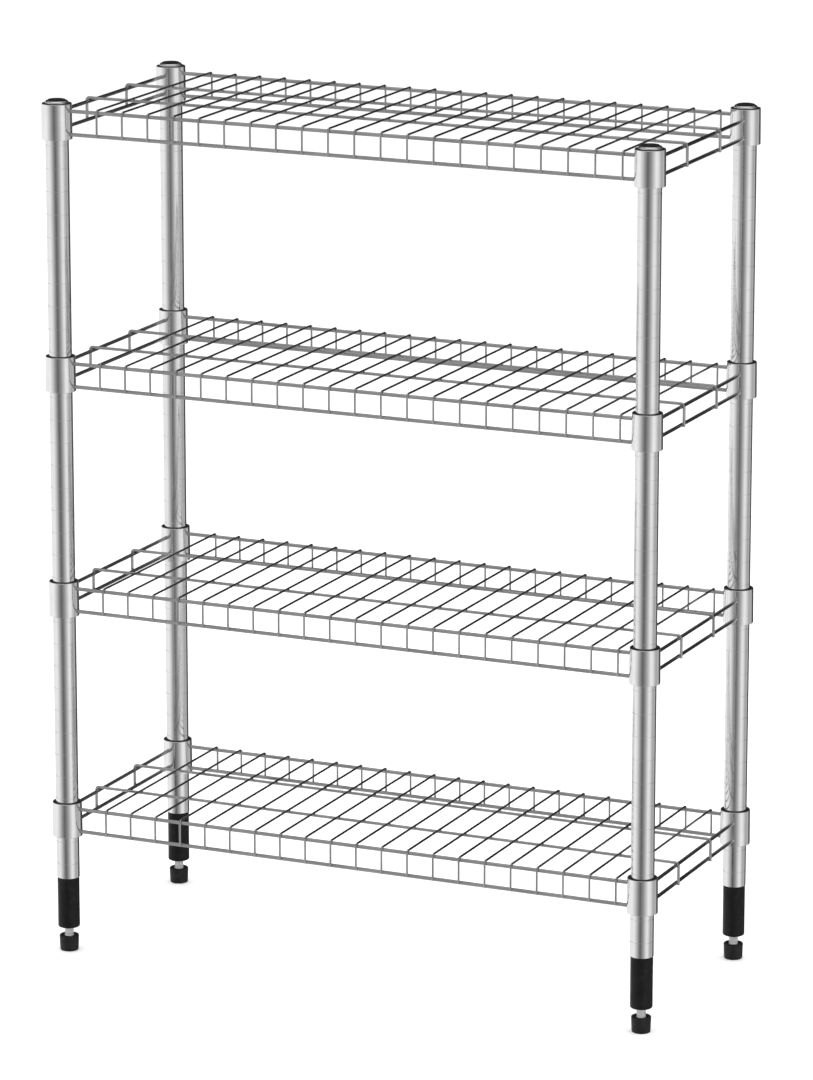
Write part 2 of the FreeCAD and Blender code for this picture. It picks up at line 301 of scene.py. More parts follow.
@dataclass(frozen=True)
class PlatedFinish:
    """Bright plate on steel: colour, gloss and the fine marks of the metal under it."""

    name: str
    metal: float
    light: Place
    dark: Place
    smooth: float
    dull: float
    cloud_scale: float
    mark_scale: Place
    mark_depth: float

    def material(self) -> bpy.types.Material:
        """Build the finish.

        Returns:
            The material.
        """
        material = bpy.data.materials.new(self.name)
        material.use_nodes = True
        nodes = material.node_tree.nodes
        links = material.node_tree.links
        nodes.clear()

        plate_frame = nodes.new("NodeFrame")
        plate_frame.label = "Tone of the plate"
        gloss_frame = nodes.new("NodeFrame")
        gloss_frame.label = "Handling haze"
        mark_frame = nodes.new("NodeFrame")
        mark_frame.label = "Drawing marks under the plate"

        place = nodes.new("ShaderNodeTexCoord")
        place.label = "Place on the piece"
        place.location = (-1300, 100)

        clouds = nodes.new("ShaderNodeTexNoise")
        clouds.label = "Broad unevenness of the plate"
        clouds.parent = plate_frame
        clouds.location = (-1000, 360)
        clouds.inputs["Scale"].default_value = self.cloud_scale
        clouds.inputs["Detail"].default_value = 3.0
        clouds.inputs["Roughness"].default_value = 0.55

        tone = nodes.new("ShaderNodeValToRGB")
        tone.label = "Plate from cool to bright"
        tone.parent = plate_frame
        tone.location = (-720, 380)
        tone.color_ramp.elements[0].position = 0.35
        tone.color_ramp.elements[0].color = (*self.dark, 1.0)
        tone.color_ramp.elements[1].position = 0.68
        tone.color_ramp.elements[1].color = (*self.light, 1.0)

        smears = nodes.new("ShaderNodeTexNoise")
        smears.label = "Smears from handling"
        smears.parent = gloss_frame
        smears.location = (-1000, 60)
        smears.inputs["Scale"].default_value = self.cloud_scale * 3.1
        smears.inputs["Detail"].default_value = 5.0
        smears.inputs["Distortion"].default_value = 0.6

        haze = nodes.new("ShaderNodeMapRange")
        haze.label = "Gloss from clean to hazed"
        haze.parent = gloss_frame
        haze.location = (-720, 60)
        haze.inputs["From Min"].default_value = 0.38
        haze.inputs["From Max"].default_value = 0.75
        haze.inputs["To Min"].default_value = self.smooth
        haze.inputs["To Max"].default_value = self.dull

        stretch = nodes.new("ShaderNodeMapping")
        stretch.label = "Marks drawn out along the metal"
        stretch.parent = mark_frame
        stretch.location = (-1040, -260)
        stretch.inputs["Scale"].default_value = self.mark_scale

        marks = nodes.new("ShaderNodeTexNoise")
        marks.label = "Fine marks"
        marks.parent = mark_frame
        marks.location = (-820, -260)
        marks.inputs["Scale"].default_value = 1.0
        marks.inputs["Detail"].default_value = 4.0

        relief = nodes.new("ShaderNodeBump")
        relief.label = "Marks softened by the plate"
        relief.parent = mark_frame
        relief.location = (-600, -260)
        relief.inputs["Strength"].default_value = 0.35
        relief.inputs["Distance"].default_value = self.mark_depth

        shader = nodes.new("ShaderNodeBsdfPrincipled")
        shader.label = "Plated metal"
        shader.location = (-240, 120)
        shader.inputs["Metallic"].default_value = self.metal

        output = nodes.new("ShaderNodeOutputMaterial")
        output.label = "Finished surface"
        output.location = (80, 120)

        links.new(place.outputs["Object"], clouds.inputs["Vector"])
        links.new(clouds.outputs["Fac"], tone.inputs["Fac"])
        links.new(tone.outputs["Color"], shader.inputs["Base Color"])
        links.new(place.outputs["Object"], smears.inputs["Vector"])
        links.new(smears.outputs["Fac"], haze.inputs["Value"])
        links.new(haze.outputs["Result"], shader.inputs["Roughness"])
        links.new(place.outputs["Object"], stretch.inputs["Vector"])
        links.new(stretch.outputs["Vector"], marks.inputs["Vector"])
        links.new(marks.outputs["Fac"], relief.inputs["Height"])
        links.new(relief.outputs["Normal"], shader.inputs["Normal"])
        links.new(shader.outputs["BSDF"], output.inputs["Surface"])
        return material


@dataclass(frozen=True)
class MouldedFinish:
    """Moulded black plastic: colour, gloss, spark-eroded grain and dust."""

    name: str
    colour: Place
    scuffed: Place
    smooth: float
    dull: float
    shine: float
    grain_scale: float
    grain_depth: float

    def material(self) -> bpy.types.Material:
        """Build the finish.

        Returns:
            The material.
        """
        material = bpy.data.materials.new(self.name)
        material.use_nodes = True
        nodes = material.node_tree.nodes
        links = material.node_tree.links
        nodes.clear()

        colour_frame = nodes.new("NodeFrame")
        colour_frame.label = "Colour and scuffing"
        gloss_frame = nodes.new("NodeFrame")
        gloss_frame.label = "Uneven gloss of the moulding"
        grain_frame = nodes.new("NodeFrame")
        grain_frame.label = "Mould grain"

        place = nodes.new("ShaderNodeTexCoord")
        place.label = "Place on the piece"
        place.location = (-1260, 80)

        scuffs = nodes.new("ShaderNodeTexNoise")
        scuffs.label = "Patches that have been rubbed"
        scuffs.parent = colour_frame
        scuffs.location = (-1000, 360)
        scuffs.inputs["Scale"].default_value = 160.0
        scuffs.inputs["Detail"].default_value = 6.0
        scuffs.inputs["Roughness"].default_value = 0.62

        colour = nodes.new("ShaderNodeValToRGB")
        colour.label = "Black to rubbed grey"
        colour.parent = colour_frame
        colour.location = (-720, 380)
        colour.color_ramp.elements[0].position = 0.48
        colour.color_ramp.elements[0].color = (*self.colour, 1.0)
        colour.color_ramp.elements[1].position = 0.82
        colour.color_ramp.elements[1].color = (*self.scuffed, 1.0)

        flow = nodes.new("ShaderNodeTexNoise")
        flow.label = "Flow of the plastic"
        flow.parent = gloss_frame
        flow.location = (-1000, 60)
        flow.inputs["Scale"].default_value = 70.0
        flow.inputs["Detail"].default_value = 2.0

        gloss = nodes.new("ShaderNodeMapRange")
        gloss.label = "Gloss from satin to matt"
        gloss.parent = gloss_frame
        gloss.location = (-720, 60)
        gloss.inputs["From Min"].default_value = 0.35
        gloss.inputs["From Max"].default_value = 0.7
        gloss.inputs["To Min"].default_value = self.smooth
        gloss.inputs["To Max"].default_value = self.dull

        grain = nodes.new("ShaderNodeTexVoronoi")
        grain.label = "Spark-eroded grain"
        grain.parent = grain_frame
        grain.location = (-1000, -240)
        grain.feature = "SMOOTH_F1"
        grain.inputs["Scale"].default_value = self.grain_scale

        relief = nodes.new("ShaderNodeBump")
        relief.label = "Grain relief"
        relief.parent = grain_frame
        relief.location = (-720, -240)
        relief.inputs["Strength"].default_value = 0.4
        relief.inputs["Distance"].default_value = self.grain_depth

        shader = nodes.new("ShaderNodeBsdfPrincipled")
        shader.label = "Moulded plastic"
        shader.location = (-240, 120)
        shader.inputs["IOR"].default_value = 1.49
        shader.inputs["Specular IOR Level"].default_value = self.shine

        output = nodes.new("ShaderNodeOutputMaterial")
        output.label = "Finished surface"
        output.location = (80, 120)

        links.new(place.outputs["Object"], scuffs.inputs["Vector"])
        links.new(scuffs.outputs["Fac"], colour.inputs["Fac"])
        links.new(colour.outputs["Color"], shader.inputs["Base Color"])
        links.new(place.outputs["Object"], flow.inputs["Vector"])
        links.new(flow.outputs["Fac"], gloss.inputs["Value"])
        links.new(gloss.outputs["Result"], shader.inputs["Roughness"])
        links.new(place.outputs["Object"], grain.inputs["Vector"])
        links.new(grain.outputs["Distance"], relief.inputs["Height"])
        links.new(relief.outputs["Normal"], shader.inputs["Normal"])
        links.new(shader.outputs["BSDF"], output.inputs["Surface"])
        return material


TUBE_CHROME = PlatedFinish(
    name="tube_chrome",
    metal=1.0,
    light=(0.88, 0.88, 0.885),
    dark=(0.82, 0.82, 0.825),
    smooth=0.08,
    dull=0.13,
    cloud_scale=14.0,
    mark_scale=(600.0, 600.0, 24.0),
    mark_depth=0.0015 * MM,
)
# Wire chrome with painted shade: the same plate as the tubes, but its colour is set darker so that the thin
# wires look shaded.
SHADED_WIRE_CHROME = PlatedFinish(
    name="shaded_wire_chrome",
    metal=1.0,
    light=(0.57, 0.57, 0.575),
    dark=(0.46, 0.46, 0.465),
    smooth=0.07,
    dull=0.15,
    cloud_scale=22.0,
    mark_scale=(420.0, 420.0, 420.0),
    mark_depth=0.02 * MM,
)
COLLAR_CHROME = PlatedFinish(
    name="collar_chrome",
    metal=1.0,
    light=(0.92, 0.92, 0.925),
    dark=(0.86, 0.86, 0.865),
    smooth=0.06,
    dull=0.12,
    cloud_scale=40.0,
    mark_scale=(120.0, 120.0, 1100.0),
    mark_depth=0.003 * MM,
)
ZINC_PLATE = PlatedFinish(
    name="zinc_plate",
    metal=0.5,
    light=(0.95, 0.95, 0.95),
    dark=(0.86, 0.86, 0.865),
    smooth=0.40,
    dull=0.56,
    cloud_scale=90.0,
    mark_scale=(1500.0, 1500.0, 1500.0),
    mark_depth=0.01 * MM,
)
BLACK_PLASTIC = MouldedFinish(
    name="black_plastic",
    colour=(0.0075, 0.0075, 0.008),
    scuffed=(0.017, 0.017, 0.0175),
    smooth=0.32,
    dull=0.48,
    shine=0.16,
    grain_scale=2600.0,
    grain_depth=0.012 * MM,
)
CLIP_NYLON = MouldedFinish(
    name="clip_nylon",
    colour=(0.012, 0.012, 0.013),
    scuffed=(0.026, 0.026, 0.027),
    smooth=0.40,
    dull=0.55,
    shine=0.25,
    grain_scale=3200.0,
    grain_depth=0.010 * MM,
)
FOOT_PLASTIC = MouldedFinish(
    name="foot_plastic",
    colour=(0.009, 0.009, 0.009),
    scuffed=(0.024, 0.0235, 0.0225),
    smooth=0.42,
    dull=0.62,
    shine=0.3,
    grain_scale=1800.0,
    grain_depth=0.018 * MM,
)


# ---- Posts ----


@dataclass
class Post:
    """One post: two tube sections, cap, foot barrel, screwed stem and pad."""

    corner: Corner
    tube_steps: int = 64
    tube_wall: float = 1.0 * MM
    tube_edge: float = 0.04 * MM
    tube_curl: float = 2.2 * MM
    curl_steps: int = 8
    mouth_radius: float = 9.7 * MM
    groove_pitch: float = 25.0 * MM
    groove_drop: float = 19.25 * MM
    groove_width: float = 0.8 * MM
    groove_floor: float = 0.7 * MM
    groove_depth: float = 0.25 * MM
    cap_wall: float = 1.25 * MM
    cap_bead: float = 0.5 * MM
    cap_dimple: float = 0.25 * MM
    dimple_floor: float = 1.1 * MM
    dimple_rim: float = 1.5 * MM
    crown_flat: float = 0.35
    crown_fall: Point = (0.7, 0.9)
    crown_edge: Point = (0.3 * MM, 0.65)
    crown_side: float = 0.35
    cap_hollow: float = 2.5 * MM
    moulded_edge: float = 0.12 * MM
    round_steps: int = 5
    spigot_play: float = 0.05 * MM
    spigot_edge: float = 0.8 * MM
    barrel_edge: float = 1.6 * MM
    barrel_neck: float = 0.15 * MM
    neck_height: float = 0.9 * MM
    neck_slope: float = 1.5 * MM
    barrel_bore: float = 5.5 * MM
    barrel_bore_depth: float = 60.0 * MM
    bore_edge: float = 1.0 * MM
    pocket_radius: float = 9.3 * MM
    pocket_floor: float = 1.95 * MM
    pocket_roof: float = 10.05 * MM
    pad_edge: float = 1.2 * MM
    pad_taper: float = 0.6 * MM
    pad_dish: float = 0.7 * MM
    pad_neck: float = 5.1 * MM
    dish_floor: float = 2.4 * MM
    dish_rim: float = 3.2 * MM
    pad_rings: Place = (7.6 * MM, 5.2 * MM, 2.8 * MM)
    ring_depth: float = 0.5 * MM
    ring_slope: float = 0.3 * MM
    ring_floor: float = 0.9 * MM
    ring_width: float = 1.2 * MM
    pad_socket: float = 7.1 * MM
    socket_floor: float = 4.9 * MM
    socket_roof: float = 8.1 * MM
    thread_pitch: float = 1.5 * MM
    thread_depth: float = 0.75 * MM
    thread_sink: float = 0.06 * MM
    thread_play: float = 0.5 * MM
    thread_lap: float = 0.02 * MM
    thread_steps: int = 28
    thread_start: float = 0.6
    thread_stop: float = 0.4
    stem_point: Point = (0.4 * MM, 0.5 * MM)
    flange_top: float = 3.0 * MM
    shank_top: float = 16.8 * MM

    def node(self, piece: str) -> str:
        """Name of one of this corner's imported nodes."""
        return piece + "_" + self.corner.value

    def centre(self) -> Place:
        """Find the post's axis in plan.

        Returns:
            The point where it meets the floor.
        """
        low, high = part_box(self.node("leveller_pad"))
        middle = (low + high) / 2.0
        return (middle.x, middle.y, 0.0)

    def span(self, piece: str) -> tuple[float, float, float]:
        """Radius, lowest and highest point of one of this corner's nodes."""
        low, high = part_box(self.node(piece))
        return ((high.x - low.x) / 2.0, low.z, high.z)

    def turned(self, name: str, points: list[Point], closed: bool, rounding: float) -> bpy.types.Object:
        """Turn a profile, round its edges and set it on the post's axis.

        Args:
            name: the piece's name without its corner.
            points: its profile, down the outside first.
            closed: whether the profile is a loop.
            rounding: width of its rounded edges.

        Returns:
            The finished piece.
        """
        piece = profile_object(self.node(name), points, closed)
        add_screw(piece, self.tube_steps)
        add_bevel(piece, rounding)
        apply_stack(piece, self.centre())
        return piece

    def groove_heights(self, low: float, high: float) -> list[float]:
        """Find the grooves between two heights.

        Args:
            low: the lower height.
            high: the upper height.

        Returns:
            The middle height of each groove, from the top down.
        """
        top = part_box("shelf_1_collars")[1].z - self.groove_drop
        count = int((top - low) / self.groove_pitch) + 1
        heights = [top - self.groove_pitch * step for step in range(count)]
        return [height for height in heights if low + self.groove_width < height < high - self.groove_width]

    def tube(self, name: str, source: str, curled: bool) -> None:
        """Build one grooved tube section.

        Args:
            name: the piece's name without its corner.
            source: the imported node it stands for.
            curled: whether its top mouth is curled in round the cap.
        """
        radius, low, high = self.span(source)
        bore = radius - self.tube_wall
        points: list[Point] = []
        if curled:
            points.append((self.mouth_radius, high))
            curl = self.tube_curl
            points += arc((radius - curl, high - curl), curl, 90.0, 0.0, self.curl_steps)
        else:
            points.append((radius, high))
        for height in self.groove_heights(low, high):
            points.append((radius, height + self.groove_width / 2.0))
            points.append((radius - self.groove_depth, height + self.groove_floor / 2.0))
            points.append((radius - self.groove_depth, height - self.groove_floor / 2.0))
            points.append((radius, height - self.groove_width / 2.0))
        points += [(radius, low), (bore, low)]
        if curled:
            points.append((bore, high - self.tube_curl - self.tube_wall))
            points.append((self.mouth_radius, high - self.tube_wall))
        else:
            points.append((bore, high))
        piece = self.turned(name, points, True, self.tube_edge)
        dress(piece, TUBE_FINISH, "post_frame", Slot.CHROME, self.node(source))

    def cap(self) -> None:
        """Build the plug in the post's mouth, with a low crown, a gate dimple and a snap bead."""
        widest, low, high = self.span("post_cap")
        radius = widest - self.cap_bead
        mouth = self.span("post_upper")[2]
        crown = high - mouth
        bead = mouth - self.tube_curl - 2.0 * self.tube_wall
        fall_out, fall_up = self.crown_fall
        edge_in, edge_up = self.crown_edge
        points: list[Point] = [(0.0, high - self.cap_dimple), (self.dimple_floor, high - self.cap_dimple)]
        points += [(self.dimple_rim, high), (radius * self.crown_flat, high)]
        points += [(radius * fall_out, mouth + crown * fall_up), (radius - edge_in, mouth + crown * edge_up)]
        points += [(radius, mouth + crown * self.crown_side), (radius, bead), (widest, bead - self.cap_bead)]
        points += [(radius, bead - 2.0 * self.cap_bead), (radius, low), (radius - self.cap_wall, low)]
        points += [(radius - self.cap_wall, mouth - self.cap_hollow), (0.0, mouth - self.cap_hollow)]
        piece = self.turned("crowned_cap", points, False, self.moulded_edge)
        dress(piece, FINISHES[Slot.PLASTIC], "post_frame", Slot.PLASTIC, self.node("post_cap"))

    def barrel(self) -> None:
        """Build the moulded foot barrel, its neck under the tube and its bore."""
        radius, low, high = self.span("foot_barrel")
        tube_radius, tube_end, _ = self.span("post_lower")
        spigot = tube_radius - self.tube_wall - self.spigot_play
        neck = radius - self.barrel_neck
        edge = self.barrel_edge
        bore_top = low + self.barrel_bore_depth
        points: list[Point] = [(0.0, high), (spigot - self.spigot_edge, high)]
        points += [(spigot, high - self.spigot_edge), (spigot, tube_end), (neck, tube_end)]
        points += [(neck, tube_end - self.neck_height), (radius, tube_end - self.neck_slope)]
        points += arc((radius - edge, low + edge), edge, 0.0, -90.0, self.round_steps)
        points += [(self.barrel_bore + self.bore_edge, low), (self.barrel_bore, low + self.bore_edge)]
        floor = low + self.pocket_floor
        roof = low + self.pocket_roof
        points += [(self.barrel_bore, floor), (self.pocket_radius, floor), (self.pocket_radius, roof)]
        points += [(self.barrel_bore, roof), (self.barrel_bore, bore_top), (0.0, bore_top)]
        piece = self.turned("moulded_barrel", points, False, self.moulded_edge)
        dress(piece, FINISHES[Slot.PLASTIC], "post_frame", Slot.PLASTIC, self.node("foot_barrel"))

    def stem(self) -> None:
        """Build the screwed stem: a right-hand helix above a plain shank with its foot flange."""
        flange, low, high = self.span("leveller_stem")
        radius = self.barrel_bore - self.thread_play
        root = radius - self.thread_depth
        sunk = root - self.thread_sink
        turns = int((high - self.shank_top) / self.thread_pitch) - 1
        crest = self.thread_pitch / 16.0
        foot = self.thread_pitch / 2.0 - self.thread_lap
        points: list[Point] = [(sunk, foot), (radius, crest), (radius, -crest), (sunk, -foot)]
        thread = profile_object(self.node("screwed_stem"), points, True)
        screw = add_screw(thread, self.thread_steps)
        screw.iterations = turns
        screw.screw_offset = self.thread_pitch
        apply_stack(thread, (0.0, 0.0, self.shank_top + self.thread_pitch / 2.0))
        close_ends(thread)

        start = self.shank_top + self.thread_pitch * self.thread_start
        stop = self.shank_top + self.thread_pitch * (turns + self.thread_stop)
        side = root + self.thread_lap
        rest = low + self.flange_top
        point_in, point_down = self.stem_point
        core: list[Point] = [(0.0, high), (root - point_in, high), (side, high - point_down)]
        core += [(side, stop), (side, start), (radius, self.shank_top)]
        core += [(radius, rest), (flange, rest), (flange, low), (0.0, low)]
        shank = profile_object("shank", core, False)
        add_screw(shank, self.tube_steps // 2)
        apply_stack(shank)

        work = bmesh.new()
        work.from_mesh(thread.data)
        work.from_mesh(shank.data)
        work.to_mesh(thread.data)
        work.free()
        bpy.data.objects.remove(shank)
        thread.data.transform(Matrix.Translation(self.centre()))
        dress(thread, FINISHES[Slot.ZINC], self.node("stem"), Slot.ZINC, self.node("leveller_stem"))

    def pad(self) -> None:
        """Build the floor pad: tapered wall, rounded rims, dished top and ringed underside."""
        radius, low, high = self.span("leveller_pad")
        foot = radius - self.pad_taper
        edge = self.pad_edge
        neck = self.pad_neck
        floor = low + self.socket_floor
        roof = low + self.socket_roof
        points: list[Point] = [(0.0, floor), (self.pad_socket, floor), (self.pad_socket, roof), (neck, roof)]
        points += [(neck, high - self.pad_dish), (neck + self.dish_floor, high - self.pad_dish)]
        points.append((neck + self.dish_rim, high))
        points += arc((radius - edge, high - edge), edge, 90.0, 0.0, self.round_steps)
        points += arc((foot - edge, low + edge), edge, 0.0, -90.0, self.round_steps)
        for ring in self.pad_rings:
            points += [(ring, low), (ring - self.ring_slope, low + self.ring_depth)]
            points += [(ring - self.ring_floor, low + self.ring_depth), (ring - self.ring_width, low)]
        points.append((0.0, low))
        piece = self.turned("floor_pad", points, False, self.moulded_edge)
        dress(piece, FINISHES[Slot.FOOT], self.node("pad"), Slot.FOOT, self.node("leveller_pad"))

    def build(self) -> None:
        """Build every piece of the post."""
        self.tube("upper_tube", "post_upper", True)
        self.tube("lower_tube", "post_lower", False)
        self.cap()
        self.barrel()
        self.stem()
        self.pad()


# ---- Shelves and their clips ----


@dataclass
class Shelf:
    """One wire shelf: collars, rails, deck wires, support wires and their welds."""

    number: int
    collar_top_radius: float = 16.15 * MM
    collar_top_bore: float = 14.3 * MM
    collar_bottom_bore: float = 15.4 * MM
    collar_edge: float = 0.45 * MM
    collar_rounds: int = 3
    collar_steps: int = 64
    rail_radius: float = 2.0 * MM
    rail_tip: float = 0.2 * MM
    deck_radius: float = 1.2 * MM
    deck_tip: float = 0.5 * MM
    deck_count: int = 21
    support_radius: float = 1.7 * MM
    support_tip: float = 0.6 * MM
    bend_steps: int = 6
    weld_bite: float = 0.2 * MM
    bead_lift: float = 0.4 * MM
    deck_bead: float = 1.6 * MM
    deck_bead_top: float = 1.7 * MM
    deck_bead_foot: float = 1.4 * MM
    deck_bead_crossing: float = 1.8 * MM
    support_bead: float = 2.2 * MM
    support_bead_foot: float = 1.7 * MM
    rail_bead: float = 2.4 * MM
    rail_bead_depth: float = 0.8 * MM
    rail_bead_inset: float = 0.5 * MM

    def node(self, piece: str) -> str:
        """Name of one of this shelf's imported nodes."""
        return "shelf_" + str(self.number) + "_" + piece

    def body(self) -> str:
        """The body that the whole shelf moves with."""
        return "shelf_" + str(self.number)

    def post_reach(self) -> tuple[float, float, float]:
        """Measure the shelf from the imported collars.

        Returns:
            Half the post spacing in width and in depth, and the collar's bottom radius.
        """
        half_x, half_y, _ = Post(Corner.BACK_RIGHT).centre()
        return (half_x, half_y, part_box(self.node("collars"))[1].x - half_x)

    def collars(self) -> None:
        """Build the four collars, with their tapered bore and rounded rims."""
        half_x, half_y, wide = self.post_reach()
        low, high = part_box(self.node("collars"))
        points: list[Point] = [(self.collar_top_radius, high.z), (wide, low.z)]
        points += [(self.collar_bottom_bore, low.z), (self.collar_top_bore, high.z)]
        piece = profile_object(self.node("bored_collars"), points, True)
        add_screw(piece, self.collar_steps)
        add_bevel(piece, self.collar_edge, self.collar_rounds)
        apply_stack(piece, (-half_x, -half_y, 0.0))
        add_array(piece, "left_and_right", 2, (2.0 * half_x, 0.0, 0.0))
        add_array(piece, "front_and_back", 2, (0.0, 2.0 * half_y, 0.0))
        dress(piece, FINISHES[Slot.COLLAR], self.body(), Slot.COLLAR, self.node("collars"))

    def straight_rails(self, piece: str, name: str, along_x: bool) -> None:
        """Build a pair or two of straight rails between the collars.

        Args:
            piece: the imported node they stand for.
            name: the piece's own name.
            along_x: whether they run along the width.
        """
        low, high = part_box(self.node(piece))
        radius = self.rail_radius
        routes: list[list[Place]] = []
        for height in (high.z - radius, low.z + radius):
            if along_x:
                side = (low.y + high.y) / 2.0
                routes.append([(low.x, side, height), (0.0, side, height), (high.x, side, height)])
            else:
                for side in (low.x + radius, high.x - radius):
                    routes.append([(side, low.y, height), (side, 0.0, height), (side, high.y, height)])
        rails = wire_object(self.node(name), radius, routes, self.rail_tip)
        dress(rails, FINISHES[Slot.CHROME], self.body(), Slot.CHROME, self.node(piece))

    def bend(self, corner: Vector, outward: Vector, radius: float) -> list[Place]:
        """Quarter bend from a run that goes outward to a leg that goes down.

        Args:
            corner: where the run and the leg would cross.
            outward: the run's direction.
            radius: the bend's centre-line radius.

        Returns:
            The points of the bend, from the run to the leg.
        """
        centre = corner - outward * radius - Vector((0.0, 0.0, radius))
        points: list[Place] = []
        for across, up in arc((0.0, 0.0), radius, 90.0, 0.0, self.bend_steps):
            points.append(tuple(centre + outward * across + Vector((0.0, 0.0, up))))
        return points

    def bent_route(self, start: Vector, end: Vector, foot: float, radius: float) -> list[Place]:
        """Route a level wire whose ends bend down over two rails.

        Args:
            start: where its first leg and its level run would cross.
            end: where its level run and its last leg would cross.
            foot: height at which both legs end.
            radius: the wire's radius.

        Returns:
            The wire's centre line.
        """
        wrap = self.rail_radius + radius - self.weld_bite
        outward = (end - start).normalized()
        middle = (start + end) / 2.0
        route: list[Place] = [(start.x, start.y, foot)]
        route += reversed(self.bend(start, -outward, wrap))
        route += [tuple(middle.lerp(start, 0.5)), tuple(middle), tuple(middle.lerp(end, 0.5))]
        route += self.bend(end, outward, wrap)
        route.append((end.x, end.y, foot))
        return route

    def deck_wires(self) -> None:
        """Build the cross wires as one bent wire repeated along the shelf."""
        low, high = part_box(self.node("deck_wires"))
        radius = self.deck_radius
        start = Vector((low.x + radius, low.y + radius, high.z - radius))
        end = Vector((low.x + radius, high.y - radius, high.z - radius))
        route = self.bent_route(start, end, low.z, radius)
        wires = wire_object(self.node("cross_wires"), radius, [route], self.deck_tip)
        wires.data.bevel_resolution = 2
        add_array(wires, "along_the_shelf", self.deck_count, (self.deck_pitch(), 0.0, 0.0))
        dress(wires, FINISHES[Slot.CHROME], self.body(), Slot.CHROME, self.node("deck_wires"))

    def deck_pitch(self) -> float:
        """Distance from one deck wire to the next."""
        low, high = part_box(self.node("deck_wires"))
        return (high.x - low.x - 2.0 * self.deck_radius) / (self.deck_count - 1)

    def support_wires(self) -> None:
        """Build the two long wires under the deck, their ends bent down over the side rails."""
        low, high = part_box(self.node("support_wires"))
        radius = self.support_radius
        routes: list[list[Place]] = []
        for side in (low.y + radius, high.y - radius):
            start = Vector((low.x + radius, side, high.z - radius))
            end = Vector((high.x - radius, side, high.z - radius))
            routes.append(self.bent_route(start, end, low.z, radius))
        wires = wire_object(self.node("long_wires"), radius, routes, self.support_tip)
        dress(wires, FINISHES[Slot.CHROME], self.body(), Slot.CHROME, self.node("support_wires"))

    def bead(self, work: bmesh.types.BMesh, place: Vector, size: Place, tilt: float, axis: str) -> None:
        """Add one flattened weld bead.

        Args:
            work: the mesh it goes into.
            place: its centre.
            size: half its length along each axis, before it is tilted.
            tilt: how far it is turned, in radians.
            axis: the axis it is turned about.
        """
        shape = Matrix.Translation(place) @ Matrix.Rotation(tilt, 4, axis) @ Matrix.Diagonal((*size, 1.0))
        bmesh.ops.create_uvsphere(work, u_segments=8, v_segments=4, radius=1.0, matrix=shape)

    def finish_beads(self, work: bmesh.types.BMesh, name: str) -> bpy.types.Object:
        """Turn a mesh of beads into a smooth piece.

        Args:
            work: the beads.
            name: the piece's own name.

        Returns:
            The piece.
        """
        for face in work.faces:
            face.smooth = True
        mesh = bpy.data.meshes.new(name)
        work.to_mesh(mesh)
        work.free()
        return new_object(self.node(name), mesh)

    def deck_welds(self) -> None:
        """Build the beads where each deck wire crosses rails and support wires."""
        rails_low, rails_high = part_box(self.node("front_rails"))
        support_low, support_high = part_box(self.node("support_wires"))
        rail = self.rail_radius
        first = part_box(self.node("deck_wires"))[0].x + self.deck_radius
        flat = self.bead_lift
        half_y = -(rails_low.y + rails_high.y) / 2.0
        work = bmesh.new()
        for side in (-1.0, 1.0):
            wrap = Vector((0.0, side, 1.0)).normalized() * rail
            top = Vector((first, side * half_y, rails_high.z - rail)) + wrap
            self.bead(work, top, (self.deck_bead, self.deck_bead_top, flat), -side * HALF_RIGHT, "X")
            foot = Vector((first, side * (half_y + rail), rails_low.z + rail))
            self.bead(work, foot, (self.deck_bead, flat, self.deck_bead_foot), 0.0, "X")
        for side in (support_low.y + self.support_radius, support_high.y - self.support_radius):
            crossing = Vector((first, side, support_high.z - self.weld_bite / 2.0))
            self.bead(work, crossing, (self.deck_bead, self.deck_bead_crossing, flat), 0.0, "X")
        beads = self.finish_beads(work, "deck_weld_beads")
        add_array(beads, "at_each_wire", self.deck_count, (self.deck_pitch(), 0.0, 0.0))
        dress(beads, FINISHES[Slot.CHROME], self.body(), Slot.CHROME)

    def frame_welds(self) -> None:
        """Build the beads where the support wires meet the side rails and the rails meet the collars."""
        half_y = self.post_reach()[1]
        support_low, support_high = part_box(self.node("support_wires"))
        side_low, side_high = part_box(self.node("side_rails"))
        long_low, long_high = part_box(self.node("front_rails"))
        rail = self.rail_radius
        flat = self.bead_lift
        wide = self.support_bead
        round_bead = self.rail_bead
        deep = self.rail_bead_depth
        inset = self.rail_bead_inset
        work = bmesh.new()
        for end in (-1.0, 1.0):
            rail_x = end * (side_high.x - rail)
            for line in (support_low.y + self.support_radius, support_high.y - self.support_radius):
                wrap = Vector((end, 0.0, 1.0)).normalized() * rail
                top = Vector((rail_x, line, side_high.z - rail)) + wrap
                self.bead(work, top, (wide, wide, flat), end * HALF_RIGHT, "Y")
                foot = Vector((rail_x + end * rail, line, side_low.z + rail))
                self.bead(work, foot, (flat, wide, self.support_bead_foot), 0.0, "X")
            for height in (side_high.z - rail, side_low.z + rail):
                for depth in (side_low.y + inset, side_high.y - inset):
                    spot = Vector((rail_x, depth, height))
                    self.bead(work, spot, (round_bead, deep, round_bead), 0.0, "X")
            for height in (long_high.z - rail, long_low.z + rail):
                for depth in (-half_y, half_y):
                    spot = Vector((end * (long_high.x - inset), depth, height))
                    self.bead(work, spot, (deep, round_bead, round_bead), 0.0, "X")
        beads = self.finish_beads(work, "frame_weld_beads")
        dress(beads, FINISHES[Slot.CHROME], self.body(), Slot.CHROME)

    def build(self) -> None:
        """Build every piece of the shelf."""
        self.collars()
        self.straight_rails("front_rails", "front_rail_pair", True)
        self.straight_rails("back_rails", "back_rail_pair", True)
        self.straight_rails("side_rails", "side_rail_pairs", False)
        self.deck_wires()
        self.support_wires()
        self.deck_welds()
        self.frame_welds()


